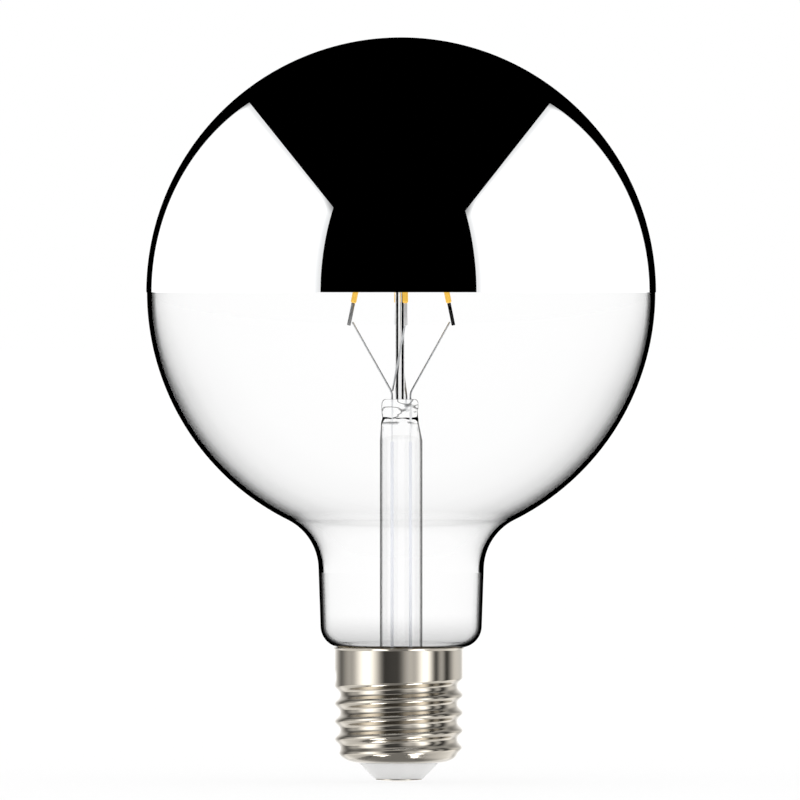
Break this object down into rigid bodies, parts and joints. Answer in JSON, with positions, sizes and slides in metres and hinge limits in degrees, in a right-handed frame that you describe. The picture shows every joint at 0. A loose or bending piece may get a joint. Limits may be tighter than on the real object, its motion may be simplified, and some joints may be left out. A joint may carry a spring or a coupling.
{
  "type": "silver crown bulb",
  "caption": "Clear glass globe lamp with a mirrored upper half, four LED filaments on a glass stem and a nickel-plated E27 screw cap.",
  "frame": {"origin": "lowest point of the centre contact, on the lamp's axis", "axes": "+Z along the lamp's axis from the cap to the top of the globe, +X to the right and +Y away from the viewer as in the picture"},
  "size_m": [0.1042, 0.1042, 0.1523],
  "materials": {
    "clear_glass": "polished",
    "stem_glass": "polished",
    "mirror_coat": "polished",
    "nickel_plate": "satin",
    "nickel_wire": "satin",
    "tab_metal": "satin",
    "phosphor": "satin",
    "sleeve_plastic": "satin",
    "insulator_plastic": "satin",
    "cement": "matte",
    "board_laminate": "satin",
    "black_plastic": "matte",
    "capacitor_film": "gloss",
    "resistor_body": "satin",
    "wire_red": "satin",
    "wire_blue": "satin"
  },
  "bodies": {
    "root": {"glass_envelope": "clear_glass", "stem_tube": "stem_glass", "exhaust_tube": "stem_glass", "support_rod": "stem_glass", "mirror_crown": "mirror_coat", "screw_shell": "nickel_plate", "centre_contact": "nickel_plate", "lead_wire_left": "nickel_wire", "lead_wire_right": "nickel_wire", "lead_wire_back": "nickel_wire", "branch_wire_front": "nickel_wire", "top_spider": "nickel_wire", "tab_right_low": "tab_metal", "tab_back_low": "tab_metal", "tab_left_low": "tab_metal", "tab_front_low": "tab_metal", "tab_right_top": "tab_metal", "tab_back_top": "tab_metal", "tab_left_top": "tab_metal", "tab_front_top": "tab_metal", "filament_right": "phosphor", "filament_back": "phosphor", "filament_left": "phosphor", "filament_front": "phosphor", "lead_sleeve_left": "sleeve_plastic", "lead_sleeve_right": "sleeve_plastic", "insulator": "insulator_plastic", "cap_cement": "cement", "driver_board": "board_laminate", "bridge_rectifier": "black_plastic", "driver_chip": "black_plastic", "capacitor": "capacitor_film", "fusible_resistor": "resistor_body", "live_wire": "wire_red", "neutral_wire": "wire_blue"}
  },
  "joints": []
}
